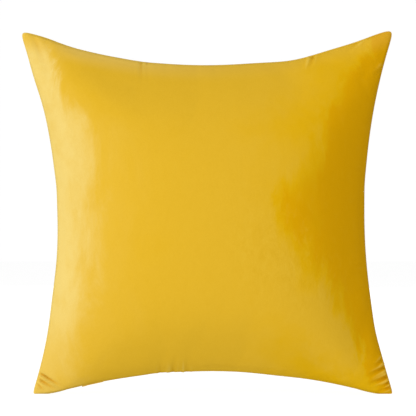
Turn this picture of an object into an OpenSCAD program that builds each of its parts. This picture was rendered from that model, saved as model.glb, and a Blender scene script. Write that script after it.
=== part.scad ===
// Square throw pillow: a velvet cover with a concealed zip in its bottom seam, and a stuffed insert.
// It stands upright on its two bottom corners. X is width, Y is depth (front is -Y), Z is up.

/* [Cover] */
// Width across the corner tips
pillow_w = 430; // [430:5:520]
// Height from the floor to the top corner tips
pillow_h = 425; // [400:5:520]
// Thickness of the filled pillow at its middle
pillow_t = 175; // [130:5:200]
// How far the bottom left corner stands in from the top left one
corner_in = 10; // [0:1:15]
// How far the top edge is drawn in at its middle
sag_top = 40; // [20:1:45]
// How far the bottom edge is drawn in at its middle
sag_bottom = 32; // [20:1:45]
// How far the left edge is drawn in at its middle
sag_left = 34; // [20:1:45]
// How far the right edge is drawn in at its middle
sag_right = 32; // [20:1:45]
// How far the bottom corner tips are flattened against the floor
foot_flat = 5; // [3:0.5:7]
// Thickness of the velvet with its pile
velvet = 1.2; // [1:0.1:1.5]
// Width of the seam allowance inside the cover
allowance = 10; // [9:0.5:11]

/* [Insert] */
// Distance from the cover's seam to the insert's seam
insert_inset = 14; // [13:0.5:18]
// Thickness of the ticking
ticking = 0.5; // [0.4:0.1:0.8]
// Space left between the cover and the insert
insert_play = 1.5; // [1.3:0.1:3]
// Width of the insert's own seam allowance
insert_allowance = 7; // [6:0.5:8]
// Length of the stretch that is sewn shut after filling
closing_length = 130; // [100:5:160]

/* [Zip] */
// Length of the coil rows along the bottom seam
zip_length = 315; // [280:5:315]
// Height of the coil's centre above the lips of the seam
coil_height = 5.2; // [5.2:0.1:5.4]
// Radius of one row of coil
coil_r = 0.8; // [0.7:0.05:0.8]
// Length of the slider along the zip
slider_length = 11; // [9:0.5:13]
// Length of the pull tab from its hinge bar
pull_length = 23; // [18:1:26]
// Width of the pull tab
pull_width = 5; // [4:0.5:6]

/* [Thread and labels] */
// Thickness of the sewing thread
thread = 0.4; // [0.3:0.05:0.5]
// Thickness of a label
label_thickness = 0.3; // [0.2:0.05:0.3]

/* [Hidden] */
$fn = 180;

FRONT = -1;
BACK = 1;
half_w = pillow_w / 2;
half_t = pillow_t / 2;
bottom_z = -foot_flat;
mid_z = (pillow_h + bottom_z) / 2;
top_left = [-half_w, pillow_h];
top_right = [half_w, pillow_h];
bottom_left = [corner_in - half_w, bottom_z];
bottom_right = [half_w, bottom_z];
crown = 0.55;
foot_press = 2.2;
foot_height = 20;
foot_run = 8;
foot_reach = 4 * foot_run;
grid = 20;
cover_fold = 3;
insert_fold = 2;

// The allowances part at the zip: half the gap at the lips, and how fast it widens with height
lip_gap = 0.65;
flare_slope = 0.9;
flare_end = 0.94;
flare_run = 0.07;
// The allowances lie flat again at the second grid line from each end
zip_zone = 0.5 - across(2) * norm(bottom_right - bottom_left) / 2;

// Every side is an arc from corner a to corner b, the pillow on its left, with its centre outside the pillow.
function arc_radius(a, b, sag) = pow(norm(b - a), 2) / (8 * sag) + sag / 2;
function outward(a, b) = [b.y - a.y, a.x - b.x] / norm(b - a);
function arc_centre(a, b, sag) = (a + b) / 2 + (arc_radius(a, b, sag) - sag) * outward(a, b);
r_left = arc_radius(top_left, bottom_left, sag_left);
r_right = arc_radius(bottom_right, top_right, sag_right);
r_top = arc_radius(top_right, top_left, sag_top);
r_bottom = arc_radius(bottom_left, bottom_right, sag_bottom);
c_left = arc_centre(top_left, bottom_left, sag_left);
c_right = arc_centre(bottom_right, top_right, sag_right);
c_top = arc_centre(top_right, top_left, sag_top);
c_bottom = arc_centre(bottom_left, bottom_right, sag_bottom);
seam_z = c_bottom.y + r_bottom;

// Zip
tape = 0.5;
tape_low = coil_height - coil_r - tape;
tape_high = allowance + 1.5;
tape_over = 4;
tape_gap = 0.45;
tape_edge = 0.75;
coil_gap = 0.7;
coil_y = coil_gap + coil_r;
coil_end = zip_length / r_bottom * 90 / PI;
stop_run = 0.25;
stop_over = 0.2;
running = 0.3;
lip_play = 0.5;
wing = 0.8;
slider_wall = 0.7;
slider_y = coil_y + coil_r + running + slider_wall;
slider_angle = slider_length / r_bottom * 90 / PI;
slider_clear = 0.05;
slider_rest = -coil_end + slider_angle + slider_clear;
neck = 0.35;
neck_length = 5;
neck_low = -2.2;
bar_q = -1.3;
bar_r = 0.5;
bar_play = 0.05;
ear_r = 0.85;
pull_thickness = 0.8;
slot = 0.65;
slot_length = 3.1;
window_r = 1.1;
stitch_high = 8;

// Rows of stitches, and the binding of the raw edges
stitch_in = 1.2;
binding_bite = 3.5;
binding_clear = 0.25;

// Insert
insert_rise = half_t - velvet - insert_play;
fill_play = 0.6;
fill_inset = insert_inset + insert_allowance + 1;
closing_gap = 0.5;

// Labels: where each one starts, and how high it lies over the seam plane
cover_label_inset = cover_fold + 3;
cover_label_base = velvet + 0.05;
cover_label_rise = insert_rise - 1;
insert_label_inset = insert_inset - 1.2;
insert_label_base = 0.2;
insert_label_rise = insert_rise + 0.7;

// Colours of the parts
velvet_colour = "goldenrod";
tape_colour = "darkgoldenrod";
metal_colour = "gold";
ticking_colour = "whitesmoke";
label_colour = "white";

// Points of a pillow-shaped surface -------------------------------------------------------------

// How far an arc of radius r reaches from its centre, at the distance s to one side of the centre
function reach(r, s) = sqrt(r * r - s * s);

// Crown of the cloth over the seam plane at (u, v), each from -1 to 1
function dome(u, v) = pow(max(0, (1 - u * u) * (1 - v * v)), crown);

// Place in the seam plane of (u, v) on the outline that lies inset inside the seam.
// Each round puts the point between the sides that it last lay between.
function plan(u, v, inset, rounds = 9, p = [0, mid_z]) =
    rounds == 0 ? p
    : let (
        left = c_left.x + reach(r_left + inset, p.y - c_left.y),
        right = c_right.x - reach(r_right + inset, p.y - c_right.y),
        low = max(inset, c_bottom.y + reach(r_bottom + inset, p.x - c_bottom.x)),
        high = c_top.y - reach(r_top + inset, p.x - c_top.x),
        x = (left + right + u * (right - left)) / 2,
        z = (low + high + v * (high - low)) / 2
    )
    plan(u, v, inset, rounds - 1, [x, z]);

// The bottom corner tips spread on the floor: cloth that stands off the seam plane there sinks to it
function to_tip(x) = min(x - bottom_left.x, bottom_right.x - x);
function near_foot(x, z) = max(0, min(1, (foot_reach - to_tip(x)) / foot_run)) * max(0, 1 - z / foot_height);
function pressed(p, y, floor_z) = max(floor_z, p.y - foot_press * y * near_foot(p.x, p.y));

// A point at height y over the seam plane, no lower than floor_z
function cloth_point(u, v, inset, y, floor_z, side) =
    let (p = plan(u, v, inset))
    [p.x, side * y, pressed(p, y, floor_z)];

// Grid lines crowd towards the edges, where the cloth turns most
function across(i) = sin(90 * (2 * i / grid - 1));
function grid_index(i, j) = i * (grid + 1) + j;
grid_count = (grid + 1) * (grid + 1);
walk = [
    for (i = [0 : grid - 1]) [i, 0],
    for (j = [0 : grid - 1]) [grid, j],
    for (i = [grid : -1 : 1]) [i, grid],
    for (j = [grid : -1 : 1]) [0, j],
];
walk_count = len(walk);

function on_edge(i, j) = i == 0 || j == 0 || i == grid || j == grid;

// How much the allowance opens for the zip, from 0 to 1, along the bottom edge
function flare(i, j) = j == 0 ? min(1, max(0, (flare_end - abs(across(i))) / flare_run)) : 0;

function turned(face, flip) = flip ? [face[0], face[2], face[1]] : face;

// Two triangles on the corners a, b, c, d, which meet along a-c, or along b-d when cross is true
function quad(a, b, c, d, flip, cross = false) =
    cross ? [turned([a, b, d], flip), turned([b, c, d], flip)]
    : [turned([a, b, c], flip), turned([a, c, d], flip)];

// In each quarter of a grid the diagonals point at that quarter's corner
function crossed(i, j) = (i < grid / 2) != (j < grid / 2);

// A whole grid of points that starts at the index first
function grid_faces(first, flip) = [
    for (i = [0 : grid - 1], j = [0 : grid - 1])
        let (a = first + grid_index(i, j), b = first + grid_index(i + 1, j))
        each quad(a, b, b + 1, a + 1, flip, crossed(i, j))
];

// A band between two loops of walk_count indices
function band_faces(a, b, flip) = [
    for (n = [0 : walk_count - 1])
        let (m = (n + 1) % walk_count)
        each quad(a[n], a[m], b[m], b[n], flip)
];

// The edge points of the grid that starts at the index first
function edge_loop(first) = [for (p = walk) first + grid_index(p[0], p[1])];

// A sewn panel: a domed sheet whose edge is folded back into the seam plane as an allowance,
// which opens at the bottom edge when gap is the half gap of a zip there.
module panel(side, inset, rise, wall, fold, turn_in, gap, slope) {
    outer = [
        for (i = [0 : grid], j = [0 : grid])
            let (u = across(i), v = across(j))
            cloth_point(u, v, inset, flare(i, j) * gap + rise * dome(u, v), 0, side)
    ];
    turned_edge = function (y) [
        for (p = walk)
            let (open = flare(p[0], p[1]) * (gap + slope * turn_in))
            cloth_point(across(p[0]), across(p[1]), inset + turn_in, y + open, 0, side)
    ];
    inner = [
        for (i = [0 : grid], j = [0 : grid])
            let (u = across(i), v = across(j))
            let (open = flare(i, j) * (gap + slope * fold))
            cloth_point(u, v, inset + fold, wall + open + (rise - 2 * wall) * dome(u, v), wall, side)
    ];
    near_loop = [for (n = [0 : walk_count - 1]) grid_count + n];
    far_loop = [for (n = near_loop) n + walk_count];
    inner_first = grid_count + 2 * walk_count;
    flip = side == BACK;
    polyhedron(
        points = concat(outer, turned_edge(0), turned_edge(wall), inner),
        faces = concat(
            grid_faces(0, !flip),
            band_faces(edge_loop(0), near_loop, flip),
            band_faces(near_loop, far_loop, flip),
            band_faces(far_loop, edge_loop(inner_first), flip),
            grid_faces(inner_first, flip)
        ),
        convexity = 6
    );
}

// A closed pillow shape
module filling(inset, rise) {
    sheet = function (side) [
        for (i = [0 : grid], j = [0 : grid])
            if (side == FRONT || !on_edge(i, j))
                let (u = across(i), v = across(j))
                cloth_point(u, v, inset, rise * dome(u, v), 0, side)
    ];
    inside = grid - 1;
    back_index = function (i, j)
        on_edge(i, j) ? grid_index(i, j) : grid_count + (i - 1) * inside + j - 1;
    back_faces = [
        for (i = [0 : grid - 1], j = [0 : grid - 1])
            let (a = back_index(i, j), b = back_index(i + 1, j))
            let (c = back_index(i + 1, j + 1), d = back_index(i, j + 1))
            each quad(a, b, c, d, false, crossed(i, j))
    ];
    polyhedron(
        points = concat(sheet(FRONT), sheet(BACK)),
        faces = concat(grid_faces(0, true), back_faces),
        convexity = 4
    );
}

// A blank label that leaves a side seam and lies along the back of the insert.
// hand is -1 at the left seam and 1 at the right, and middle is its height from -1 to 1.
module label(hand, middle, inset, base, rise) {
    long = 12;
    wide = 4;
    reach = 0.13;
    half_width = 0.06;
    point = function (i, j, lift)
        let (u = hand * sin(90 * (1 - reach * 2 * i / long)), v = middle + half_width * (2 * j / wide - 1))
        cloth_point(u, v, inset, base + lift + rise * dome(u, v), 0, BACK);
    points = [for (lift = [0, label_thickness], i = [0 : long], j = [0 : wide]) point(i, j, lift)];
    at = function (layer, i, j) layer * (long + 1) * (wide + 1) + i * (wide + 1) + j;
    flip = hand > 0;
    layer_faces = function (layer, flip) [
        for (i = [0 : long - 1], j = [0 : wide - 1])
            let (a = at(layer, i, j), b = at(layer, i + 1, j))
            each quad(a, b, b + 1, a + 1, flip)
    ];
    end_faces = function (i, flip) [
        for (j = [0 : wide - 1])
            each quad(at(0, i, j), at(0, i, j + 1), at(1, i, j + 1), at(1, i, j), flip)
    ];
    side_faces = function (j, flip) [
        for (i = [0 : long - 1])
            each quad(at(0, i, j), at(0, i + 1, j), at(1, i + 1, j), at(1, i, j), flip)
    ];
    polyhedron(
        points = points,
        faces = concat(
            layer_faces(0, !flip),
            layer_faces(1, flip),
            end_faces(0, !flip),
            end_faces(long, flip),
            side_faces(0, flip),
            side_faces(wide, !flip)
        ),
        convexity = 4
    );
}

// Flat pieces in the seam plane -----------------------------------------------------------------

// The seam's outline, moved inwards by inset
module outline(inset) {
    difference() {
        translate([-half_w, inset])
            square([pillow_w, pillow_h - inset]);
        translate(c_left)
            circle(r_left + inset);
        translate(c_right)
            circle(r_right + inset);
        translate(c_top)
            circle(r_top + inset);
        translate(c_bottom)
            circle(r_bottom + inset);
    }
}

// A ring of the outline between two insets, from y_from to y_to
module seam_ring(inset, width, y_from, y_to) {
    translate([0, y_to, 0])
        rotate([90, 0, 0])
        linear_extrude(y_to - y_from)
        difference() {
            outline(inset);
            outline(inset + width);
        }
}

// A box round the middle of the insert's bottom edge
module closing_box(half_length) {
    translate([-half_length, -pillow_t / 2, 0])
        cube([2 * half_length, pillow_t, seam_z + 2 * insert_inset]);
}

// Pieces that run along the zip -----------------------------------------------------------------

// Turns a section in (radius, y) about the arc's centre, between two angles from the middle
module along_zip(from, to) {
    translate([c_bottom.x, 0, c_bottom.y])
        rotate([-90, 0, 0])
        rotate_extrude(start = from - 90, angle = to - from)
        translate([r_bottom, 0])
        children();
}

// Puts a piece at an angle along the zip and a height q over the lips
module at_zip(angle, q) {
    translate([c_bottom.x, 0, c_bottom.y])
        rotate([0, angle, 0])
        translate([0, 0, r_bottom + q])
        children();
}

// Half gap between the opened allowances at the height q
function flared(q) = lip_gap + flare_slope * q;
slant = sqrt(1 + flare_slope * flare_slope);
function tape_outside(q) = flared(q) - tape_gap;
function tape_inside(q) = tape_outside(q) - tape * slant;

// The stretch of the bottom allowances that opens for the zip
module opened_stretch() {
    zone = zip_zone / r_bottom * 180 / PI;
    along_zip(-zone, zone)
        translate([-1, -half_t])
        square([allowance + 3, pillow_t]);
}

module zip_tape(side) {
    over = tape_over / r_bottom * 180 / PI;
    under_coil = tape_low + tape;
    along_zip(-coil_end - over, coil_end + over)
        polygon([
            [tape_low, side * tape_edge],
            [tape_low, side * tape_outside(tape_low)],
            [tape_high, side * tape_outside(tape_high)],
            [tape_high, side * tape_inside(tape_high)],
            [under_coil, side * tape_inside(under_coil)],
            [under_coil, side * tape_edge],
        ]);
}

module zip_coil(side) {
    along_zip(-coil_end, coil_end)
        translate([coil_height, side * coil_y])
        circle(coil_r, $fn = 48);
}

module zip_stitching(side) {
    off = thread / 2 / slant;
    along_zip(-coil_end, coil_end)
        translate([stitch_high + off * flare_slope, side * (tape_inside(stitch_high) - off)])
        circle(thread / 2, $fn = 24);
}

// A block on the tapes from y_from to y_to, with the coils' ends against it
module stop_block(from, y_from, y_to) {
    along_zip(from, from + stop_run)
        translate([tape_low + tape, y_from])
        square([2 * coil_r + stop_over, y_to - y_from]);
}

// Sub-parts -------------------------------------------------------------------------------------

module cover_front_panel() {
    color(velvet_colour)
        panel(FRONT, 0, half_t, velvet, cover_fold, allowance, lip_gap, flare_slope);
}

module cover_back_panel() {
    color(velvet_colour)
        panel(BACK, 0, half_t, velvet, cover_fold, allowance, lip_gap, flare_slope);
}

// Needle thread on the front allowance and bobbin thread on the back one, open at the zip
module cover_seam_thread() {
    color(velvet_colour)
        difference() {
            for (y = [-velvet - thread, velvet])
                seam_ring(cover_fold + stitch_in, thread, y, y + thread);
            opened_stretch();
        }
}

// A binding of thread that wraps the raw edges of both allowances
module cover_overlock_thread() {
    half = velvet + thread;
    edge = allowance + binding_clear;
    side_width = binding_bite + thread;
    color(tape_colour)
        difference() {
            union() {
                seam_ring(edge - binding_bite, side_width, -half, -velvet);
                seam_ring(edge - binding_bite, side_width, velvet, half);
                seam_ring(edge, thread, -half, half);
            }
            opened_stretch();
        }
}

module cover_care_label() {
    color(label_colour)
        label(-1, -0.35, cover_label_inset, cover_label_base, cover_label_rise);
}

module zip_tape_front() {
    color(tape_colour)
        zip_tape(FRONT);
}

module zip_tape_back() {
    color(tape_colour)
        zip_tape(BACK);
}

module zip_coil_front() {
    color(tape_colour)
        zip_coil(FRONT);
}

module zip_coil_back() {
    color(tape_colour)
        zip_coil(BACK);
}

module zip_stitching_front() {
    color(velvet_colour)
        zip_stitching(FRONT);
}

module zip_stitching_back() {
    color(velvet_colour)
        zip_stitching(BACK);
}

// One small stop on each tape at the closed end
module zip_top_stops() {
    far = coil_y + coil_r;
    color(metal_colour)
        for (y = [-far, tape_edge])
            stop_block(-coil_end - stop_run, y, y + far - tape_edge);
}

// One stop across both tapes at the open end
module zip_bottom_stop() {
    far = coil_y + coil_r;
    color(metal_colour)
        stop_block(coil_end, -far, far);
}

// The slider holds both coils in a channel, and its neck passes out between the lips
module zip_slider() {
    wing_low = tape_low - running - wing;
    lower_y = flared(wing_low) - lip_play;
    roof = coil_height + coil_r + running;
    wall_low = tape_low + tape + running;
    neck_angle = neck_length / r_bottom * 90 / PI;
    color(metal_colour)
        difference() {
            union() {
                along_zip(slider_rest - slider_angle, slider_rest + slider_angle)
                    union() {
                        translate([wing_low, -lower_y])
                            square([wing, 2 * lower_y]);
                        translate([roof, -slider_y])
                            square([wing, 2 * slider_y]);
                        for (y = [-slider_y, slider_y - slider_wall])
                            translate([wall_low, y])
                                square([roof + wing - wall_low, slider_wall]);
                    }
                along_zip(slider_rest - neck_angle, slider_rest + neck_angle)
                    translate([neck_low, -neck])
                    square([roof + wing - neck_low, 2 * neck]);
            }
            at_zip(slider_rest, bar_q)
                rotate([90, 0, 0])
                cylinder(r = bar_r + bar_play, h = 4 * neck, center = true, $fn = 48);
        }
}

// The tab lies along the seam, with its bar through the slider's neck
module zip_pull() {
    half = pull_width / 2;
    round_x = pull_length - half;
    behind = 1;
    color(metal_colour)
        at_zip(slider_rest, bar_q)
        union() {
            translate([0, 0, -pull_thickness / 2])
                linear_extrude(pull_thickness)
                difference() {
                    union() {
                        translate([0, -half])
                            square([round_x, pull_width]);
                        translate([round_x, 0])
                            circle(half, $fn = 48);
                    }
                    translate([-behind, -slot])
                        square([slot_length + behind, 2 * slot]);
                    translate([round_x, 0])
                        circle(window_r, $fn = 48);
                }
            for (y = [slot, -half])
                translate([0, y, 0])
                    rotate([-90, 0, 0])
                    cylinder(r = ear_r, h = half - slot, $fn = 48);
            rotate([90, 0, 0])
                cylinder(r = bar_r, h = 3 * slot, center = true, $fn = 48);
        }
}

module insert_front_panel() {
    color(ticking_colour)
        panel(FRONT, insert_inset, insert_rise, ticking, insert_fold, insert_allowance, 0, 0);
}

module insert_back_panel() {
    color(ticking_colour)
        panel(BACK, insert_inset, insert_rise, ticking, insert_fold, insert_allowance, 0, 0);
}

module insert_seam_rows() {
    for (y = [-ticking - thread, ticking])
        seam_ring(insert_inset + insert_fold + stitch_in, thread, y, y + thread);
}

module insert_seam_thread() {
    color(label_colour)
        difference() {
            insert_seam_rows();
            closing_box(closing_length / 2 + closing_gap);
        }
}

module insert_closing_stitch() {
    color(tape_colour)
        intersection() {
            insert_seam_rows();
            closing_box(closing_length / 2);
        }
}

module insert_care_label() {
    color(label_colour)
        label(1, 0.3, insert_label_inset, insert_label_base, insert_label_rise);
}

module insert_fill() {
    color(ticking_colour)
        filling(fill_inset, insert_rise - ticking - fill_play);
}

cover_front_panel();
cover_back_panel();
cover_seam_thread();
cover_overlock_thread();
cover_care_label();
zip_tape_front();
zip_tape_back();
zip_coil_front();
zip_coil_back();
zip_stitching_front();
zip_stitching_back();
zip_top_stops();
zip_bottom_stop();
zip_slider();
zip_pull();
insert_front_panel();
insert_back_panel();
insert_seam_thread();
insert_closing_stitch();
insert_care_label();
insert_fill();
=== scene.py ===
"""A square velvet throw pillow, standing on its two bottom corners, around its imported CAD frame.

The two velvet panels are simulated as cloth that is sewn along the seam and filled with air. The insert
and the labels inside are fitted to them. The zip keeps its CAD shape. All lengths are in metres.
"""
import math
import random

import bpy
import numpy as np
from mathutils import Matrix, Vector
from mathutils.bvhtree import BVHTree


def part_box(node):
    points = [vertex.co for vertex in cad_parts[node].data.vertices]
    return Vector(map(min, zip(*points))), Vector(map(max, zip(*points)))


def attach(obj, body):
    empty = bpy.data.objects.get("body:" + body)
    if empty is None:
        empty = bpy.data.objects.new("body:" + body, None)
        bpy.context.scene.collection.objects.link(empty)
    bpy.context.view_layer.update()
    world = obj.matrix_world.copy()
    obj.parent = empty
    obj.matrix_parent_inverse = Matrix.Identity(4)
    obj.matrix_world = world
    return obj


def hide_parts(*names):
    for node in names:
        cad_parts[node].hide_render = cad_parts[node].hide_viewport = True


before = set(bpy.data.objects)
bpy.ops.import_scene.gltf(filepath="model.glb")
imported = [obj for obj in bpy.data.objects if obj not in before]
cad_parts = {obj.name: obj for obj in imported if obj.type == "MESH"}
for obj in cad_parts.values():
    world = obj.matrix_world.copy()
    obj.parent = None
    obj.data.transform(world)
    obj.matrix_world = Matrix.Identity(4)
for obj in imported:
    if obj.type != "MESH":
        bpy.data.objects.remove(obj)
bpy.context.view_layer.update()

MM = 0.001

# The pillow's outline, from the frame and the part's own driving dimensions
PANEL_LOW, PANEL_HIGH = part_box("cover_front_panel")
HALF_W = (PANEL_HIGH[0] - PANEL_LOW[0]) / 2
HEIGHT = PANEL_HIGH[2]
HALF_T = -PANEL_LOW[1]
FOOT_FLAT = 5 * MM
FOOT_ROUND = 1.3 * MM
CORNER_IN = 10 * MM
SAG = {"bottom": 32 * MM, "right": 32 * MM, "top": 40 * MM, "left": 34 * MM}
SIDES = ("bottom", "right", "top", "left")
VELVET = 1.2 * MM
FRONT, BACK = -1, 1

# The sewn corners point this far beyond the tips before they round over
TIP = 6.5 * MM
TIP_ROUND = 9 * MM
TOP_LEFT_DROP = 3 * MM
SIDE_POINTS = 400

# Places where the seam is gathered in, or stands out: side, place along it from 0 to 1, depth, half width
GATHERS = [
    ("top", 0.275, 3.4 * MM, 30 * MM),
    ("top", 0.665, 0.8 * MM, 12 * MM),
    ("top", 0.925, -2.4 * MM, 16 * MM),
    ("top", 0.055, -1.2 * MM, 12 * MM),
    ("right", 0.58, 0.9 * MM, 10 * MM),
    ("right", 0.19, 1.4 * MM, 22 * MM),
    ("left", 0.13, -2.2 * MM, 26 * MM),
    ("left", 0.43, 1.0 * MM, 10 * MM),
    ("left", 0.72, -1.6 * MM, 34 * MM),
    ("bottom", 0.36, 1.4 * MM, 12 * MM),
    ("bottom", 0.67, -1.2 * MM, 30 * MM),
]

# Cloth grid: cells across a panel, how much they crowd towards the seam, and the flat lip at the seam
GRID = 92
CROWD = 0.6
LIP = 1.6 * MM
LIP_RISE = 1.4 * MM
LIP_CREST = 0.9 * MM
CREASE_RISE = 2.6 * MM
DOME_START = 0.075
CLOTH_SPARE = 0.03
CLOTH_FRAMES = 22
CALM = 0.85
CALM_CELLS = 6

# Zip zone: the CAD's lips stand apart here, and its allowances lean away from each other
ZIP_HALF = 0.176
ZIP_FADE = 0.012
ZIP_LIP_GAP = 0.65 * MM
ZIP_LEAN = 0.9
ALLOWANCE = 10 * MM

# Inside: the insert's seam, how steeply it fills out from there, its clearances, and the labels
INSERT_INSET = 14 * MM
INSERT_EDGE = 0.2
INSERT_PLAY = 2.2 * MM
TICKING = 0.5 * MM
LABEL_GAP = 1.0 * MM
LABEL_THICK = 0.3 * MM
LABEL_CLIMB = 2.5


# Outline ----------------------------------------------------------------------------------------

def arc(a, middle, b, count):
    """count points from a towards b on the circle through the three points, without b itself."""
    a, middle, b = (np.array(p) for p in (a, middle, b))
    centre = np.linalg.solve(
        2 * np.array([middle - a, b - middle]),
        [middle @ middle - a @ a, b @ b - middle @ middle],
    )
    start, end = (math.atan2(*(p - centre)[::-1]) for p in (a, b))
    turn = (end - start + math.pi) % (2 * math.pi) - math.pi
    angle = start + turn * np.arange(count) / count
    radius = np.linalg.norm(a - centre)
    return centre + radius * np.stack([np.cos(angle), np.sin(angle)], 1)


def drawn_in_middle(a, b, sag):
    """Middle of the side from a to b, which is drawn in to its left."""
    a, b = np.array(a), np.array(b)
    along = (b - a) / np.linalg.norm(b - a)
    return (a + b) / 2 + sag * np.array([-along[1], along[0]])


def outline_loop():
    """The seam's outline, counter-clockwise from the bottom left corner, SIDE_POINTS points a side."""
    corners = [
        (CORNER_IN - HALF_W, -FOOT_FLAT),
        (HALF_W, -FOOT_FLAT),
        (HALF_W, HEIGHT),
        (-HALF_W, HEIGHT),
    ]
    out = [
        (-0.45 * TIP, -TIP / 3),
        (0.7 * TIP, -TIP / 3),
        (0.6 * TIP, 0.6 * TIP),
        (-TIP, 0.8 * TIP - TOP_LEFT_DROP),
    ]
    pointed = [(c[0] + o[0], c[1] + o[1]) for c, o in zip(corners, out)]
    loop = []
    for k, name in enumerate(SIDES):
        after = (k + 1) % 4
        middle = drawn_in_middle(corners[k], corners[after], SAG[name])
        side = arc(pointed[k], middle, pointed[after], SIDE_POINTS)
        along = (np.array(pointed[after]) - np.array(pointed[k])) / 2
        length = np.linalg.norm(along)
        inward = np.array([-along[1], along[0]]) / length
        place = np.arange(SIDE_POINTS) / SIDE_POINTS
        for where, at, depth, half_width in GATHERS:
            if where == name:
                away = (place - at) * 2 * length / half_width
                side = side + inward * (depth * np.exp(-away * away))[:, None]
        loop.append(side)
    loop = np.concatenate(loop)
    step = 2 * HALF_W / SIDE_POINTS
    reach = int(3 * TIP_ROUND / step)
    weight = np.exp(-0.5 * (np.arange(-reach, reach + 1) * step / TIP_ROUND) ** 2)
    weight /= weight.sum()
    rounded = sum(w * np.roll(loop, k, axis=0) for k, w in zip(range(-reach, reach + 1), weight))
    z = rounded[:, 1]
    rounded[:, 1] = (z + np.sqrt(z * z + 4 * FOOT_ROUND ** 2)) / 2
    rounded[:, 1] -= rounded[:, 1].min()
    return rounded


LOOP = outline_loop()


def on_side(name, t):
    """Points at the shares t of the length of a side, in the loop's direction."""
    first = SIDES.index(name) * SIDE_POINTS
    points = LOOP[np.arange(first, first + SIDE_POINTS + 1) % len(LOOP)]
    length = np.concatenate([[0], np.cumsum(np.linalg.norm(np.diff(points, axis=0), axis=1))])
    length /= length[-1]
    return np.stack([np.interp(t, length, points[:, k]) for k in (0, 1)], -1)


def in_plane(u, v):
    """Places in the seam plane of (u, v), each from -1 to 1, blended between the four sides."""
    s, t = (u + 1) / 2, (v + 1) / 2
    a, b = s[..., None], t[..., None]
    sides = (1 - b) * on_side("bottom", s) + b * on_side("top", 1 - s)
    sides = sides + (1 - a) * on_side("left", 1 - t) + a * on_side("right", t)
    low_left, low_right, high_right, high_left = (LOOP[k * SIDE_POINTS] for k in range(4))
    corners = (1 - b) * ((1 - a) * low_left + a * low_right) + b * ((1 - a) * high_left + a * high_right)
    return sides - corners


def stations():
    """Grid lines across a panel from -1 to 1: a narrow lip at each end, then lines that crowd towards it."""
    s = np.linspace(-1, 1, GRID - 1)
    crowded = (1 - CROWD) * s + CROWD * np.sin(s * math.pi / 2)
    return np.concatenate([[-1], crowded * (1 - LIP / HALF_W), [1]])


LINES = stations()
U, V = np.meshgrid(LINES, LINES, indexing="ij")
CELLS = len(LINES) - 1
EDGE = (np.abs(U) == 1) | (np.abs(V) == 1)


# Meshes -----------------------------------------------------------------------------------------

def add_mesh(name, points, faces):
    """A smooth-shaded mesh object."""
    mesh = bpy.data.meshes.new(name)
    mesh.from_pydata([tuple(p) for p in points], [], faces)
    mesh.shade_smooth()
    obj = bpy.data.objects.new(name, mesh)
    bpy.context.scene.collection.objects.link(obj)
    return obj


def apply_modifiers(obj):
    """Puts what the modifiers make into the mesh, and removes them."""
    bpy.context.view_layer.update()
    graph = bpy.context.evaluated_depsgraph_get()
    mesh = bpy.data.meshes.new_from_object(obj.evaluated_get(graph))
    obj.modifiers.clear()
    obj.data = mesh
    mesh.shade_smooth()


def coordinates(vertices, attribute="co"):
    """All vertices' places or normals as an array."""
    values = np.empty(len(vertices) * 3)
    vertices.foreach_get(attribute, values)
    return values.reshape(-1, 3)


def grid_faces(index, outwards):
    """Faces on a grid of vertex indices; outwards turns them over."""
    a, b, c, d = index[:-1, :-1], index[1:, :-1], index[1:, 1:], index[:-1, 1:]
    faces = np.stack([a, b, c, d] if outwards else [d, c, b, a], -1).reshape(-1, 4)
    return faces.tolist()


def band_faces(inner, outer, outwards):
    """Faces between two closed loops of vertex indices."""
    a, b = np.array(inner), np.array(outer)
    next_a, next_b = np.roll(a, -1), np.roll(b, -1)
    faces = np.stack([a, b, next_b, next_a] if outwards else [next_a, next_b, b, a], -1)
    return faces.tolist()


def edge_walk():
    """Grid places round the edge, counter-clockwise from the bottom left corner."""
    n = CELLS
    walk = [(i, 0) for i in range(n)] + [(n, j) for j in range(n)]
    return walk + [(i, n) for i in range(n, 0, -1)] + [(0, j) for j in range(n, 0, -1)]


WALK = edge_walk()


# Cloth ------------------------------------------------------------------------------------------

def dome():
    """Height of the slack cloth over the seam plane, before it is filled."""
    rise = np.sqrt(np.maximum(0, (1 - U * U) * (1 - V * V)))
    return np.where(EDGE, 0, LIP_RISE + (DOME_START - LIP_RISE) * rise)


def inflate(front, back):
    """Fills two panels that are sewn along their edges, and returns them as grids of points."""
    index = {FRONT: np.arange(U.size).reshape(U.shape)}
    inside = ~EDGE
    index[BACK] = index[FRONT].copy()
    index[BACK][inside] = U.size + np.arange(inside.sum())
    points = np.concatenate([front.reshape(-1, 3), back[inside]])
    faces = grid_faces(index[FRONT], True) + grid_faces(index[BACK], False)
    obj = add_mesh("cloth", points, faces)
    held = np.zeros(U.shape, bool)
    held[:2], held[-2:], held[:, :2], held[:, -2:] = True, True, True, True
    group = obj.vertex_groups.new(name="sewn")
    group.add(sorted({int(k) for side in index for k in index[side][held]}), 1, "REPLACE")
    cloth = obj.modifiers.new("cloth", "CLOTH")
    settings = cloth.settings
    settings.quality = 6
    settings.mass = 0.3
    settings.tension_stiffness = settings.compression_stiffness = 30
    settings.shear_stiffness = 10
    settings.bending_stiffness = 0.5
    settings.tension_damping = settings.compression_damping = settings.shear_damping = 10
    settings.air_damping = 5
    settings.use_pressure = True
    settings.uniform_pressure_force = 4
    settings.vertex_group_mass = group.name
    settings.shrink_min = settings.shrink_max = -CLOTH_SPARE
    settings.effector_weights.gravity = 0
    cloth.collision_settings.use_collision = False
    cloth.point_cache.frame_end = CLOTH_FRAMES
    scene = bpy.context.scene
    for number in range(1, CLOTH_FRAMES + 1):
        scene.frame_set(number)
    graph = bpy.context.evaluated_depsgraph_get()
    filled = coordinates(obj.evaluated_get(graph).data.vertices)
    bpy.data.objects.remove(obj)
    scene.frame_set(1)
    return filled[index[FRONT]], filled[index[BACK]]


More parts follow.
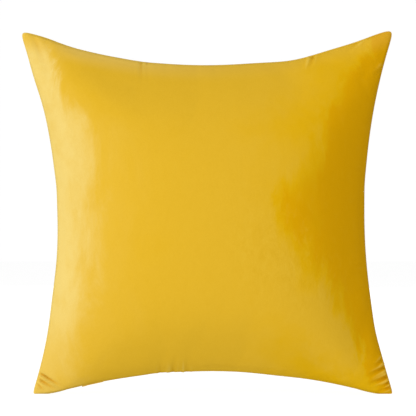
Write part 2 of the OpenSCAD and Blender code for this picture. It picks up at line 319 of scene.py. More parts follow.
def blurred(field, cells):
    """A grid of values averaged over its neighbours, the same way along both axes."""
    reach = 3 * cells
    weight = np.exp(-0.5 * (np.arange(-reach, reach + 1) / cells) ** 2)
    weight /= weight.sum()
    for axis in (0, 1):
        wide = np.moveaxis(field, axis, 0)
        wide = np.pad(wide, [(reach, reach)] + [(0, 0)] * (field.ndim - 1), "edge")
        count = field.shape[axis]
        field = sum(w * wide[k:k + count] for k, w in enumerate(weight))
        field = np.moveaxis(field, 0, axis)
    return field


def calmed(panel, plane, side):
    """Takes most of the broad buckles out of a filled panel, and keeps its profile."""
    inner = slice(2, -2)
    profile = (((1 - U * U) * (1 - V * V))[inner, inner]) ** 0.4
    ratio = side * panel[inner, inner, 1] / profile
    height = CALM * blurred(ratio, CALM_CELLS) + (1 - CALM) * ratio
    moved = (panel - plane)[inner, inner]
    settled = CALM * blurred(moved, CALM_CELLS) + (1 - CALM) * moved
    result = panel.copy()
    result[inner, inner] = plane[inner, inner] + settled
    result[inner, inner, 1] = side * height * profile
    return result


def filled_panels():
    """Grids of points of the front and back panels, filled to the CAD's thickness."""
    plane = in_plane(U, V)
    height = dome()
    front = np.stack([plane[..., 0], FRONT * height, plane[..., 1]], -1)
    back = np.stack([plane[..., 0], BACK * height, plane[..., 1]], -1)
    flat = front * (1, 0, 1)
    front, back = inflate(front, back)
    front, back = calmed(front, flat, FRONT), calmed(back, flat, BACK)
    for panel, side in ((front, FRONT), (back, BACK)):
        panel[..., 1] *= HALF_T / (side * panel[..., 1]).max()
        panel[..., 2] = np.maximum(panel[..., 2], 0)
    return front, back


# Velvet panels ----------------------------------------------------------------------------------

def zip_opening(x, v):
    """How far the zip opens the seam at x on the bottom edge, from 0 to 1."""
    centre = CORNER_IN / 2
    along = np.clip((ZIP_HALF - np.abs(x - centre)) / ZIP_FADE, 0, 1)
    return np.where(v < -0.999, along, 0)


def panel_mesh(name, points, side):
    """A panel with its lip and its allowance, which is turned in along the seam plane."""
    count = points.shape[0]
    index = np.arange(count * count).reshape(count, count)
    u = np.array([U[p] for p in WALK])
    v = np.array([V[p] for p in WALK])
    outline = in_plane(u, v)
    opened = zip_opening(outline[:, 0], v)
    grid = points.copy()
    for n, p in enumerate(WALK):
        grid[p][1] = side * (LIP_CREST + opened[n] * ZIP_LIP_GAP)
    rows = [grid.reshape(-1, 3)]
    faces = grid_faces(index, side == FRONT)
    last = [int(index[p]) for p in WALK]
    for depth in (1.0 * MM, 3.5 * MM, ALLOWANCE):
        share = 1 - depth / HALF_W
        plane = in_plane(u * share, v * share)
        y = 0.03 * MM + opened * (ZIP_LIP_GAP + ZIP_LEAN * depth)
        first = sum(len(r) for r in rows)
        rows.append(np.stack([plane[:, 0], side * y, np.maximum(plane[:, 1], 0)], -1))
        ring = list(range(first, first + len(WALK)))
        faces += band_faces(ring, last, side == FRONT)
        last = ring
    return add_mesh(name, np.concatenate(rows), faces)


# Creases: start and end in (x, z), half width and depth, in millimetres. A crease starts at its deep end,
# and one of negative depth stands out.
FRONT_CREASES = [
    # bottom left corner
    ((-192, 22), (-166, 7), 1.3, 4.2),
    ((-190, 18.2), (-171, 6.5), 1.2, -2.4),
    ((-193, 14.8), (-173, 3.2), 1.3, 4.0),
    ((-197.5, 10), (-188, 2), 1.2, 2.8),
    ((-203, 14), (-197, 2.5), 1.2, 2.8),
    # bottom right corner
    ((205.5, 42), (193, 31), 1.8, 4.2),
    ((207, 32), (184, 20.5), 1.9, 5.0),
    ((211, 21), (186, 11), 1.8, 5.0),
    ((212.5, 14.5), (201, 6.5), 1.5, 4.0),
    ((213.5, 8.5), (196, 1.5), 1.5, 3.6),
    # top right corner and top edge
    ((177, 415), (160, 399), 2.2, 3.2),
    ((118, 396), (112, 374), 1.8, -3.4),
    ((123, 397), (118.5, 377), 1.8, 3.0),
    ((205, 380), (190, 366), 3.0, 1.8),
    # top left: a fold runs down beside the left seam
    ((-199, 407), (-178, 358), 3.2, 1.2),
    ((-78, 388), (-75.5, 357), 2.0, 2.8),
    ((-71, 388), (-70, 360), 1.8, 2.2),
    ((-48, 386), (-48, 370), 2.2, 0.7),
    ((-14, 384), (-13, 366), 2.4, 0.6),
    ((8, 384), (10, 365), 2.2, 0.7),
    ((38, 385), (39, 369), 2.2, 0.6),
    ((66, 388), (64, 370), 2.2, 0.7),
    # bottom edge
    ((-55, 24), (-56, 45), 2.0, 2.8),
    ((-46, 25), (-46, 47), 1.7, -2.0),
    ((-41, 25), (-36, 52), 2.0, 3.0),
    ((-29, 25), (-28.5, 50), 1.7, -1.8),
    ((-24, 26), (-24, 46), 2.0, 2.2),
    ((-92, 19), (-92, 31), 2.0, 0.8),
    ((4, 27), (5, 39), 2.2, 0.8),
    ((34, 26), (35, 38), 2.2, 0.6),
    # side edges
    ((176, 262), (160, 259), 1.8, 1.0),
    ((174, 226), (160, 228), 1.8, 0.8),
    ((176, 152), (158, 147), 2.0, 1.2),
    ((182, 124), (166, 119), 2.0, 0.9),
    ((-176, 225), (-162, 221), 1.8, 0.9),
    ((-179, 150), (-166, 152), 1.8, 0.9),
    ((-196, 330), (-182, 322), 1.8, 0.7),
]


def crease(points, start, end, half_width, depth):
    """How far one crease moves each point outwards: a valley with a soft ridge on each side of it."""
    start, end = np.array(start) * MM, np.array(end) * MM
    along = end - start
    length = np.linalg.norm(along)
    along /= length
    away = points[:, (0, 2)] - start
    t = away @ along / length
    off = away @ np.array([-along[1], along[0]]) / (half_width * MM)
    fade = np.where(t < 0, np.exp(-((t / 0.25) ** 2)), np.clip(1 - t, 0, 1) ** 1.3)
    valley = np.exp(-off * off)
    ridge = 0.45 * np.exp(-((np.abs(off) - 1.9) ** 2))
    return depth * MM * fade * (ridge - valley)


def seam_puckers(seed, count):
    """Small creases that run in from the seam, at seeded places on all four sides."""
    draw = random.Random(seed)
    found = []
    for name in SIDES:
        for k in range(count):
            t = 0.07 + 0.86 * (k + draw.uniform(0.15, 0.85)) / count
            at = on_side(name, np.array([t - 0.01, t, t + 0.01]).clip(0, 1))
            tangent = at[2] - at[0]
            inward = np.array([-tangent[1], tangent[0]]) / np.linalg.norm(tangent)
            lean = draw.uniform(-0.35, 0.35) * tangent / np.linalg.norm(tangent)
            end = at[1] + (inward + lean) * draw.uniform(6, 16) * MM
            found.append((at[1] / MM, end / MM, draw.uniform(1.6, 2.6), draw.uniform(0.2, 0.6)))
    return found


def stand(obj):
    """Flattens what would reach below the floor."""
    vertices = obj.data.vertices
    places = coordinates(vertices)
    places[:, 2] = np.maximum(places[:, 2], 0)
    vertices.foreach_set("co", places.ravel())


def velvet_panel(name, points, side, creases, seed):
    """A finished panel: subdivided, creased and given the cloth's thickness."""
    obj = panel_mesh(name, points, side)
    smooth = obj.modifiers.new("smooth", "SUBSURF")
    smooth.levels = smooth.render_levels = 1
    apply_modifiers(obj)
    vertices = obj.data.vertices
    places = coordinates(vertices)
    normals = coordinates(vertices, "normal")
    skin = np.clip((side * places[:, 1] - LIP_CREST) / CREASE_RISE, 0, 1)
    raised = skin * sum(crease(places, *found) for found in creases + seam_puckers(seed, 13))
    # the crease depth, which the velvet reads for painted shade in the valleys and painted highlight on the ridges
    fold = obj.data.attributes.new("fold", "FLOAT", "POINT")
    fold.data.foreach_set("value", -raised / (4 * MM))
    places += raised[:, None] * normals * (0.4, 1, 0.4)
    places[:, 2] = np.maximum(places[:, 2], 0)
    vertices.foreach_set("co", places.ravel())
    thick = obj.modifiers.new("thick", "SOLIDIFY")
    thick.thickness = VELVET
    thick.offset = -1
    apply_modifiers(obj)
    stand(obj)
    return obj


# Inner pieces -----------------------------------------------------------------------------------

def sample(panel, u, v):
    """Points of a panel's grid at places between its lines."""
    i = np.clip(np.searchsorted(LINES, u) - 1, 0, CELLS - 1)
    j = np.clip(np.searchsorted(LINES, v) - 1, 0, CELLS - 1)
    s = ((u - LINES[i]) / (LINES[i + 1] - LINES[i]))[..., None]
    t = ((v - LINES[j]) / (LINES[j + 1] - LINES[j]))[..., None]
    low = (1 - s) * panel[i, j] + s * panel[i + 1, j]
    high = (1 - s) * panel[i, j + 1] + s * panel[i + 1, j + 1]
    return (1 - t) * low + t * high


def fitted(panel, side, inset, gap, crest):
    """A grid inside a panel: its edge lies in the seam plane, inset from the cover's seam."""
    share = 1 - inset / HALF_W
    points = sample(panel, U * share, V * share)
    fall = np.maximum(0, (1 - U * U) * (1 - V * V)) ** INSERT_EDGE
    points[..., 1] = side * (crest + fall * np.maximum(side * points[..., 1] - gap - crest, 0))
    return points


def insert_shell(name, panel, side):
    """One panel of the insert, with the ticking's thickness."""
    points = fitted(panel, side, INSERT_INSET, VELVET + INSERT_PLAY, TICKING + 0.1 * MM)
    index = np.arange(U.size).reshape(U.shape)
    obj = add_mesh(name, points.reshape(-1, 3), grid_faces(index, side == FRONT))
    thick = obj.modifiers.new("thick", "SOLIDIFY")
    thick.thickness = TICKING
    thick.offset = -1
    apply_modifiers(obj)
    return obj


def fibre_core(front, back):
    """The filling: a closed body with a lumpy skin, just inside the ticking."""
    gap = VELVET + INSERT_PLAY + TICKING + 0.6 * MM
    low = fitted(front, FRONT, INSERT_INSET + 3 * MM, gap, 0)
    high = fitted(back, BACK, INSERT_INSET + 3 * MM, gap, 0)
    lumps = 1 - 0.012 * (np.sin(U * 23 + 3 * np.sin(V * 7)) * np.sin(V * 21 + 2 * np.sin(U * 9))) ** 2
    low[..., 1] *= lumps
    high[..., 1] *= lumps[::-1]
    index = np.arange(U.size).reshape(U.shape)
    other = index.copy()
    inside = ~EDGE
    other[inside] = U.size + np.arange(inside.sum())
    faces = grid_faces(index, True) + grid_faces(other, False)
    return add_mesh("fibre_core", np.concatenate([low.reshape(-1, 3), high[inside]]), faces)


def satin_label(name, node, back, toward):
    """A blank label that leaves a side seam and lies along the back, between the insert and the cover."""
    low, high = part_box(node)
    index = np.arange(U.size).reshape(U.shape)
    skin = BVHTree.FromPolygons([Vector(p) for p in back.reshape(-1, 3)], grid_faces(index, False))
    rows, columns = 28, 12
    points = []
    for k in range(rows + 1):
        for n in range(columns + 1):
            share = k / rows
            x = low[0] + share * (high[0] - low[0])
            z = low[2] + n / columns * (high[2] - low[2])
            hit = skin.ray_cast(Vector((x, 1, z)), Vector((0, -1, 0)))[0]
            inner = hit[1] - VELVET - LABEL_GAP
            from_root = (x - low[0]) if toward > 0 else (high[0] - x)
            points.append((x, min(inner, low[1] + LABEL_CLIMB * from_root), z))
    grid = np.arange((rows + 1) * (columns + 1)).reshape(rows + 1, columns + 1)
    obj = add_mesh(name, points, grid_faces(grid, False))
    thick = obj.modifiers.new("thick", "SOLIDIFY")
    thick.thickness = LABEL_THICK
    thick.offset = -1
    apply_modifiers(obj)
    return obj


# Materials --------------------------------------------------------------------------------------

class Nodes:
    """Short names for building one material's nodes."""

    def __init__(self, name):
        self.material = bpy.data.materials.new(name)
        self.material.use_nodes = True
        self.tree = self.material.node_tree
        self.shader = self.tree.nodes["Principled BSDF"]
        self.place = self.add("TexCoord").outputs["Object"]

    def add(self, kind, **values):
        node = self.tree.nodes.new("ShaderNode" + kind)
        for key, value in values.items():
            setattr(node, key, value)
        return node

    def put(self, value, socket):
        """A constant or another node's output into a socket."""
        if isinstance(value, bpy.types.NodeSocket):
            self.tree.links.new(value, socket)
        else:
            socket.default_value = value

    def set(self, **values):
        for key, value in values.items():
            self.shader.inputs[key.replace("_", " ").title()].default_value = value

    def maths(self, operation, first, second=0.0, clamp=False):
        node = self.add("Math", operation=operation, use_clamp=clamp)
        self.put(first, node.inputs[0])
        self.put(second, node.inputs[1])
        return node.outputs[0]

    def vector(self, operation, first, second):
        node = self.add("VectorMath", operation=operation)
        self.put(first, node.inputs[0])
        self.put(second, node.inputs[1])
        return node.outputs[0]

    def length(self, vector):
        node = self.add("VectorMath", operation="LENGTH")
        self.put(vector, node.inputs[0])
        return node.outputs["Value"]

    def mix(self, factor, first, second, blend="MIX"):
        node = self.add("Mix", data_type="RGBA", blend_type=blend)
        for place, value in ((0, factor), (6, first), (7, second)):
            self.put(value, node.inputs[place])
        return node.outputs[2]

    def spread(self, source, low, high, to_low=0.0, to_high=1.0):
        """A smooth step of a value between two limits."""
        node = self.add("MapRange", interpolation_type="SMOOTHSTEP")
        for k, value in enumerate((source, low, high, to_low, to_high)):
            self.put(value, node.inputs[k])
        return node.outputs[0]

    def noise(self, scale, detail=2.0, roughness=0.5, distortion=0.0, place=None, output="Fac"):
        node = self.add("TexNoise")
        settings = {"Scale": scale, "Detail": detail, "Roughness": roughness, "Distortion": distortion}
        for key, value in settings.items():
            node.inputs[key].default_value = value
        self.put(place or self.place, node.inputs["Vector"])
        return node.outputs[output]

    def wave(self, scale, direction="X", distortion=0.0, place=None):
        node = self.add("TexWave", wave_type="BANDS", bands_direction=direction)
        node.inputs["Scale"].default_value = scale
        node.inputs["Distortion"].default_value = distortion
        self.put(place or self.place, node.inputs["Vector"])
        return node.outputs["Fac"]

    def bump(self, height, strength, distance, under=None):
        node = self.add("Bump")
        self.put(strength, node.inputs["Strength"])
        self.put(distance, node.inputs["Distance"])
        self.put(height, node.inputs["Height"])
        if under:
            self.put(under, node.inputs["Normal"])
        self.put(node.outputs[0], self.shader.inputs["Normal"])
        return node.outputs[0]

    def turned(self, angle, stretch):
        """The object's coordinates turned about Y, then stretched: for brushed streaks."""
        node = self.add("Mapping", vector_type="POINT")
        self.put(self.place, node.inputs["Vector"])
        node.inputs["Rotation"].default_value = (0, angle, 0)
        node.inputs["Scale"].default_value = stretch
        return node.outputs[0]


def colour(red, green, blue):
    return (red, green, blue, 1)


def oval(nodes, place, centre, radii, turn):
    """1 inside a turned oval of the front and 0 beyond it, fading between, in metres."""
    node = nodes.add("Mapping", vector_type="TEXTURE")
    nodes.put(place, node.inputs["Vector"])
    node.inputs["Location"].default_value = (centre[0], 0, centre[1])
    node.inputs["Rotation"].default_value = (0, turn, 0)
    node.inputs["Scale"].default_value = (radii[0], 10, radii[1])
    return nodes.spread(nodes.length(node.outputs[0]), 0.2, 1.35, 1.0, 0.0)


# Brushed patches of the front, painted deeper or paler, partly as painted sheen: centre, radii and turn of an
# oval, and how much deeper it is
PATCHES = [
    ((0.098, 0.222), (0.034, 0.040), 0.3, 0.55),
    ((0.075, 0.236), (0.016, 0.020), 0.0, 0.20),
    ((0.122, 0.176), (0.026, 0.050), -0.5, 0.34),
    ((0.104, 0.130), (0.020, 0.022), 0.0, 0.20),
    ((0.120, 0.100), (0.050, 0.040), 0.4, -0.35),
    ((0.150, 0.060), (0.036, 0.036), 0.2, -0.45),
    ((0.050, 0.170), (0.026, 0.060), -0.7, -0.28),
    ((0.165, 0.300), (0.034, 0.075), 0.1, 0.25),
    ((-0.010, 0.360), (0.150, 0.028), 0.0, -0.15),
]


# Tones of the velvet: its middle, its side in painted shade, the brushed mottle, the painted highlights, and the
# folds' painted shade and highlight
GOLD, WARM_SHADE_GOLD, DEEP_SHADE_GOLD = (0.795, 0.478, 0.026), (0.795, 0.455, 0.003), (0.775, 0.395, 0.0)
FEATHER_LIGHT, FEATHER_DARK = (0.86, 0.58, 0.055), (0.68, 0.37, 0.002)
LEFT_HIGHLIGHT, TOP_SHEEN, RIM_HIGHLIGHT = (0.89, 0.665, 0.195), (0.90, 0.70, 0.25), (0.93, 0.68, 0.15)
FOLD_SHADE, FOLD_HIGHLIGHT = (0.72, 0.37, 0.001), (0.93, 0.67, 0.12)
PILE_ROOT = (0.58, 0.30, 0.004)


def velvet():
    """Short golden pile: painted highlight where it faces the light on the left, painted shade where it turns away
    on the right, and brushed patches partly painted as sheen.
    """
    nodes = Nodes("golden_velvet")
    axes = nodes.add("SeparateXYZ")
    nodes.put(nodes.place, axes.inputs[0])
    x, y, z = axes.outputs

    # places shifted a little at random, so that no tone ends in a clean line
    streaks = nodes.noise(22, 9, 0.7, 0.4, nodes.turned(-0.75, (1.0, 1.0, 0.4)), "Color")
    shift = nodes.vector("MULTIPLY", nodes.vector("SUBTRACT", streaks, (0.5, 0.5, 0.5)), (0.105, 0.105, 0.105))
    brushed = nodes.vector("ADD", nodes.place, shift)

    # distance from the left edge, which is drawn in at its middle
    shifted = nodes.add("SeparateXYZ")
    nodes.put(brushed, shifted.inputs[0])
    height = nodes.maths("DIVIDE", nodes.maths("SUBTRACT", z, HEIGHT / 2), HEIGHT / 2)
    drawn = nodes.maths("SUBTRACT", 1.0, nodes.maths("MULTIPLY", height, height))
    from_left = nodes.maths("ADD", shifted.outputs[0], HALF_W)
    from_left = nodes.maths("SUBTRACT", from_left, nodes.maths("MULTIPLY", drawn, SAG["left"]))
    # the painted highlight along the left narrows towards the top, and fades at both tips
    banded = nodes.maths("MULTIPLY", from_left, nodes.spread(height, 0.4, 0.9, 1.0, 2.9))
    glow = nodes.spread(banded, 0.016, 0.074, 0.82, 0.0)
    glow = nodes.maths("ADD", glow, nodes.spread(banded, 0.02, 0.125, 0.16, 0.0))
    glow = nodes.maths("MULTIPLY", glow, nodes.spread(nodes.noise(38, 3, 0.6), 0.2, 0.62, 0.72, 1.0))
    away = nodes.maths("ABSOLUTE", height)
    glow = nodes.maths("MULTIPLY", glow, nodes.spread(height, -0.95, -0.4, 0.4, 1.0))
    glow = nodes.maths("MULTIPLY", glow, nodes.spread(height, 0.84, 0.97, 1.0, 0.25))

    # painted shade, deeper towards the right where the light falls off, and the brushed patches of the front,
    # partly painted sheen
    shade_and_brushing = nodes.spread(shifted.outputs[0], 0.02, 0.15, 0.0, 0.42)
    to_right = nodes.maths("SUBTRACT", HALF_W, nodes.maths("MULTIPLY", drawn, SAG["right"]))
    to_right = nodes.maths("SUBTRACT", to_right, shifted.outputs[0])
    # the painted shade band on the right narrows towards both tips
    to_right = nodes.maths("MULTIPLY", to_right, nodes.spread(away, 0.5, 0.95, 1.0, 2.4))
    # painted shade along the right edge
    edge = nodes.spread(to_right, 0.024, 0.070, 0.85, 0.0)
    shade_and_brushing = nodes.maths("ADD", shade_and_brushing, edge)
    front = nodes.spread(y, -0.004, 0.0, 1.0, 0.0)
    for centre, radii, turn, depth in PATCHES:
        share = nodes.maths("MULTIPLY", oval(nodes, brushed, centre, radii, turn), front)
        shade_and_brushing = nodes.maths("ADD", shade_and_brushing, nodes.maths("MULTIPLY", share, depth))
    mottled = nodes.noise(11, 3, 0.6, 0.5)
    shade_and_brushing = nodes.maths("ADD", shade_and_brushing, nodes.spread(mottled, 0.3, 0.72, -0.12, 0.14), clamp=True)

    # painted shade towards the right, and the brushed patches' tone, partly painted sheen
    base = nodes.mix(nodes.spread(shade_and_brushing, 0.0, 0.55), colour(*GOLD), colour(*WARM_SHADE_GOLD))
    base = nodes.mix(nodes.spread(shade_and_brushing, 0.4, 1.0), base, colour(*DEEP_SHADE_GOLD))
    feather = nodes.noise(150, 7, 0.8, 0.5, nodes.turned(-0.75, (1.0, 1.0, 0.5)))
    ruffled = nodes.maths("MULTIPLY", oval(nodes, brushed, (0.085, 0.170), (0.055, 0.085), -0.6), front)
    light = nodes.maths("MULTIPLY", nodes.spread(feather, 0.48, 0.66), nodes.spread(ruffled, 0.0, 1.0, 0.05, 0.22))
    dark = nodes.maths("MULTIPLY", nodes.spread(feather, 0.52, 0.36), nodes.spread(ruffled, 0.0, 1.0, 0.06, 0.22))
    base = nodes.mix(light, base, colour(*FEATHER_LIGHT))
    base = nodes.mix(dark, base, colour(*FEATHER_DARK))
    # painted highlight on the left, where the light falls
    base = nodes.mix(glow, base, colour(*LEFT_HIGHLIGHT))

    # painted sheen along the top edge, most of all on the left
    across = nodes.maths("DIVIDE", x, HALF_W)
    lowered = nodes.maths("SUBTRACT", 1.0, nodes.maths("MULTIPLY", across, across))
    from_top = nodes.maths("SUBTRACT", HEIGHT, nodes.maths("MULTIPLY", lowered, SAG["top"]))
    from_top = nodes.maths("SUBTRACT", from_top, z)
    pale = nodes.spread(from_top, 0.001, 0.024, 0.36, 0.0)
    pale = nodes.maths("MULTIPLY", pale, nodes.spread(x, -0.16, 0.06, 1.0, 0.25))
    pale = nodes.maths("MULTIPLY", pale, nodes.spread(x, -0.20, -0.15, 0.0, 1.0))
    base = nodes.mix(pale, base, colour(*TOP_SHEEN))

    # painted highlight at the seam's edge, and painted shade in the folds' valleys and painted highlight on their
    # ridges
    seam_highlight = nodes.spread(nodes.maths("ABSOLUTE", y), 0.0008, 0.0034, 0.6, 0.0)
    seam_highlight = nodes.maths("MULTIPLY", seam_highlight, nodes.spread(shade_and_brushing, 0.2, 1.0, 1.0, 0.25))
    base = nodes.mix(seam_highlight, base, colour(*RIM_HIGHLIGHT))
    fold = nodes.add("Attribute", attribute_name="fold").outputs["Fac"]
    # painted shade in the crease valleys, and painted highlight on their ridges
    base = nodes.mix(nodes.spread(fold, 0.04, 0.7, 0.0, 0.55), base, colour(*FOLD_SHADE))
    base = nodes.mix(nodes.spread(fold, -0.03, -0.4, 0.0, 0.4), base, colour(*FOLD_HIGHLIGHT))
    fine = nodes.noise(700, 2, 0.6)
    base = nodes.mix(nodes.spread(fine, 0.2, 0.8, 0.0, 0.10), base, colour(*PILE_ROOT))
    nodes.put(base, nodes.shader.inputs["Base Color"])
    combed = nodes.noise(60, 3, 0.55, 0.3, nodes.turned(0.6, (1.0, 1.0, 0.4)))
    soft = nodes.bump(combed, 0.25, 0.0012)
    nodes.bump(fine, 0.3, 0.0004, soft)
    nodes.set(roughness=0.9, sheen_weight=0.30, sheen_roughness=0.4)
    nodes.shader.inputs["Sheen Tint"].default_value = colour(1.0, 0.72, 0.06)
    nodes.shader.inputs["Specular IOR Level"].default_value = 0.03
    return nodes.material


def woven(name, base, shade, threads, sheen):
    """Plain woven cloth: threads that cross, both in tone and in relief."""
    nodes = Nodes(name)
    across = nodes.wave(threads, "X", 0.3)
    along = nodes.wave(threads, "Z", 0.3)
    crossed = nodes.maths("MULTIPLY", across, along)
    tone = nodes.mix(nodes.spread(crossed, 0.0, 0.7, 1.0, 0.0), colour(*base), colour(*shade))
    uneven = nodes.noise(40, 3, 0.6)
    tone = nodes.mix(nodes.spread(uneven, 0.35, 0.75, 0.0, 0.25), tone, colour(*shade))
    nodes.put(tone, nodes.shader.inputs["Base Color"])
    nodes.bump(crossed, 0.5, 0.0003)
    nodes.set(roughness=0.85, sheen_weight=sheen, sheen_roughness=0.4)
    nodes.shader.inputs["Specular IOR Level"].default_value = 0.2
    return nodes.material


def satin(name):
    """Smooth white label tape with a fine warp and no print."""
    nodes = Nodes(name)
    warp = nodes.wave(900, "Z", 0.4)
    tone = nodes.mix(nodes.spread(warp, 0.2, 0.8), colour(0.90, 0.89, 0.86), colour(0.95, 0.94, 0.91))
    nodes.put(tone, nodes.shader.inputs["Base Color"])
    nodes.bump(warp, 0.2, 0.0001)
    nodes.set(roughness=0.38, sheen_weight=0.15)
    return nodes.material


def twisted(name, base, shade, twist):
    """Sewing thread: fine plies that run round it aslant."""
    nodes = Nodes(name)
    plies = nodes.wave(twist, "DIAGONAL", 0.2)
    tone = nodes.mix(nodes.spread(plies, 0.15, 0.85, 0.55, 0.0), colour(*base), colour(*shade))
    nodes.put(tone, nodes.shader.inputs["Base Color"])
    nodes.bump(plies, 0.6, 0.0001)
    nodes.set(roughness=0.6, sheen_weight=0.25)
    return nodes.material


def coil_plastic():
    """Dyed monofilament: smooth, a little translucent, ribbed by its turns."""
    nodes = Nodes("coil_plastic")
    turns = nodes.wave(230, "X")
    tone = nodes.mix(nodes.spread(turns, 0.1, 0.9), colour(0.50, 0.29, 0.015), colour(0.74, 0.47, 0.045))
    nodes.put(tone, nodes.shader.inputs["Base Color"])
    nodes.bump(turns, 0.5, 0.0003)
    nodes.set(roughness=0.32, subsurface_weight=0.1)
    nodes.shader.inputs["Subsurface Scale"].default_value = 0.0005
    return nodes.material


def enamel():
    """Zinc enamelled to match the velvet, with a thin clear coat and rubbed places."""
    nodes = Nodes("golden_enamel")
    cloudy = nodes.noise(300, 3, 0.6)
    tone = nodes.mix(nodes.spread(cloudy, 0.3, 0.75), colour(0.90, 0.60, 0.06), colour(0.82, 0.52, 0.04))
    rubbed = nodes.noise(900, 4, 0.7)
    tone = nodes.mix(nodes.spread(rubbed, 0.72, 0.8), tone, colour(0.60, 0.50, 0.34))
    nodes.put(tone, nodes.shader.inputs["Base Color"])
    nodes.put(nodes.spread(cloudy, 0.2, 0.8, 0.30, 0.42), nodes.shader.inputs["Roughness"])
    nodes.bump(rubbed, 0.08, 0.0002)
    nodes.set(coat_weight=0.5, coat_roughness=0.12)
    return nodes.material


def wadding():
    """Loose white fibre."""
    nodes = Nodes("white_wadding")
    fibres = nodes.noise(240, 6, 0.7, 1.2)
    tone = nodes.mix(nodes.spread(fibres, 0.25, 0.75), colour(0.82, 0.82, 0.81), colour(0.96, 0.96, 0.95))
    nodes.put(tone, nodes.shader.inputs["Base Color"])
    nodes.bump(fibres, 0.8, 0.002)
    nodes.set(roughness=0.95, sheen_weight=0.5, sheen_roughness=0.5)
    return nodes.material


# Camera, light and floor ------------------------------------------------------------------------

def aim(obj, target):
    obj.rotation_euler = (Vector(target) - obj.location).to_track_quat("-Z", "Y").to_euler()


def add_camera():
    """Straight on to the front, level with the pillow's middle."""
    data = bpy.data.cameras.new("camera")
    obj = bpy.data.objects.new("camera", data)
    bpy.context.scene.collection.objects.link(obj)
    view_width = 1.1335 * 2 * HALF_W
    distance = 2.4
    centre = (0.0001, 0, 0.5122 * HEIGHT)
    obj.location = (centre[0], -distance, centre[2])
    aim(obj, centre)
    data.lens = data.sensor_width * distance / view_width
    data.clip_end = 50
    bpy.context.scene.camera = obj


# Name, place, width and height, power and tint of each soft light
LIGHTS = [
    ("left_window", (-2.0, -2.2, 0.6), (1.5, 2.0), 30.5, (1, 1, 1)),
    ("left_rim", (-2.2, 0.5, 0.6), (1.2, 2.0), 13.5, (1, 1, 1)),
    ("top_box", (0, -0.2, 2.4), (2.0, 1.2), 8.8, (1, 1, 1)),
    ("front_fill", (-0.6, -3.0, 0.7), (2.0, 2.0), 2.8, (1, 1, 1)),
    ("right_fill", (2.4, -1.0, 0.6), (1.6, 2.0), 2.0, (1.0, 0.82, 0.6)),
    ("floor_bounce", (0, -0.8, -0.05), (4.0, 4.0), 25, (1, 1, 1)),
    ("back_fill", (0.5, 3.0, 0.8), (2.0, 2.0), 16, (1, 1, 1)),
]


# How bright the floor and the surround look, and the light from all round
FLOOR_HALF = 6
FLOOR_TONE = (0.3, 0.3, 0.3)
FLOOR_GLOW = 0.88
SURROUND_GLOW = 1.0
WORLD_GLOW = 0.285


def add_light(name, place, target, size, power, tint):
    data = bpy.data.lights.new(name, "AREA")
    data.shape = "RECTANGLE"
    data.size, data.size_y = size
    data.energy = power
    data.color = tint
    obj = bpy.data.objects.new(name, data)
    bpy.context.scene.collection.objects.link(obj)
    obj.location = place
    aim(obj, target)


def glowing(name, tint, glow):
    """A plain pale material that also glows a little, so that it stays nearly white."""
    nodes = Nodes(name)
    nodes.shader.inputs["Base Color"].default_value = colour(*tint)
    nodes.set(roughness=1.0, emission_strength=glow)
    nodes.shader.inputs["Emission Color"].default_value = colour(1, 1, 1)
    return nodes.material


def add_studio():
    """A pale floor and a white surround, seen by the camera only, and soft light, most of it from the left."""
    corners = [(-1, -1), (1, -1), (1, 1), (-1, 1)]
    floor = add_mesh("floor", [(FLOOR_HALF * x, FLOOR_HALF * y, 0) for x, y in corners], [(0, 1, 2, 3)])
    floor.data.materials.append(glowing("pale_floor", FLOOR_TONE, FLOOR_GLOW))
    bpy.ops.mesh.primitive_uv_sphere_add(segments=48, ring_count=24, radius=FLOOR_HALF)
    surround = bpy.context.object
    surround.name = "surround"
    surround.data.materials.append(glowing("white_surround", (0, 0, 0), SURROUND_GLOW))
    for staged in (floor, surround):
        for ray in ("diffuse", "glossy", "transmission", "volume_scatter", "shadow"):
            setattr(staged, "visible_" + ray, False)
    world = bpy.data.worlds.new("studio")
    world.use_nodes = True
    world.node_tree.nodes["Background"].inputs[0].default_value = colour(1, 1, 1)
    world.node_tree.nodes["Background"].inputs[1].default_value = WORLD_GLOW
    bpy.context.scene.world = world
    for light_name, place, size, power, tint in LIGHTS:
        add_light(light_name, place, (0, 0, HEIGHT / 2), size, power, tint)
    view = bpy.context.scene.view_settings
    view.view_transform = "Standard"
    view.look = "None"


# The model --------------------------------------------------------------------------------------

# The seeds of the two panels' puckers
FRONT_SEED, BACK_SEED = 11, 12


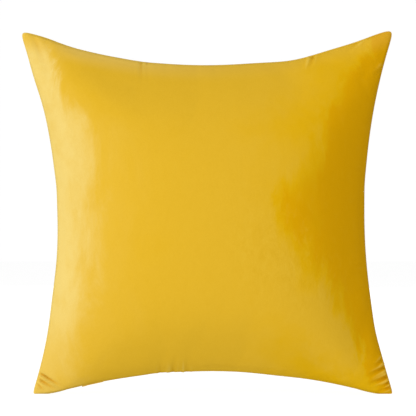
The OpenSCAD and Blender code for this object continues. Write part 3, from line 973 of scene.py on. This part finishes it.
def place_piece(obj, material, node):
    """Gives a new piece its material, slot and body, in place of its CAD node."""
    obj.data.materials.append(material)
    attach(obj, "pillow")
    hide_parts(node)


front_points, back_points = filled_panels()

velvet_pile = velvet()
ticking_cloth = woven("white_ticking", (0.90, 0.89, 0.86), (0.78, 0.77, 0.74), 420, 0.1)
label_satin = satin("label_satin")
place_piece(velvet_panel("velvet_front", front_points, FRONT, FRONT_CREASES, FRONT_SEED),
            velvet_pile, "cover_front_panel")
place_piece(velvet_panel("velvet_back", back_points, BACK, [], BACK_SEED),
            velvet_pile, "cover_back_panel")
place_piece(insert_shell("ticking_front", front_points, FRONT),
            ticking_cloth, "insert_front_panel")
place_piece(insert_shell("ticking_back", back_points, BACK),
            ticking_cloth, "insert_back_panel")
place_piece(fibre_core(front_points, back_points), wadding(), "insert_fill")
place_piece(satin_label("cover_label", "cover_care_label", back_points, 1),
            label_satin, "cover_care_label")
place_piece(satin_label("insert_label", "insert_care_label", back_points, -1),
            label_satin, "insert_care_label")

# The CAD nodes that keep their shape
golden_thread = twisted("golden_thread", (0.74, 0.45, 0.03), (0.50, 0.28, 0.01), 500)
overlock_thread = twisted("overlock_thread", (0.72, 0.48, 0.09), (0.50, 0.31, 0.04), 420)
white_thread = twisted("white_thread", (0.92, 0.92, 0.90), (0.72, 0.72, 0.70), 500)
tape_cloth = woven("golden_tape", (0.72, 0.44, 0.03), (0.48, 0.27, 0.01), 480, 0.2)
plastic, metal = coil_plastic(), enamel()
KEPT = {
    "cover_seam_thread": golden_thread,
    "zip_stitching_front": golden_thread,
    "zip_stitching_back": golden_thread,
    "cover_overlock_thread": overlock_thread,
    "insert_seam_thread": white_thread,
    "insert_closing_stitch": white_thread,
    "zip_tape_front": tape_cloth,
    "zip_tape_back": tape_cloth,
    "zip_coil_front": plastic,
    "zip_coil_back": plastic,
    "zip_top_stops": metal,
    "zip_bottom_stop": metal,
    "zip_slider": metal,
    "zip_pull": metal,
}
for node_name, node_material in KEPT.items():
    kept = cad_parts[node_name]
    kept.data.materials.clear()
    kept.data.materials.append(node_material)

add_camera()
add_studio()
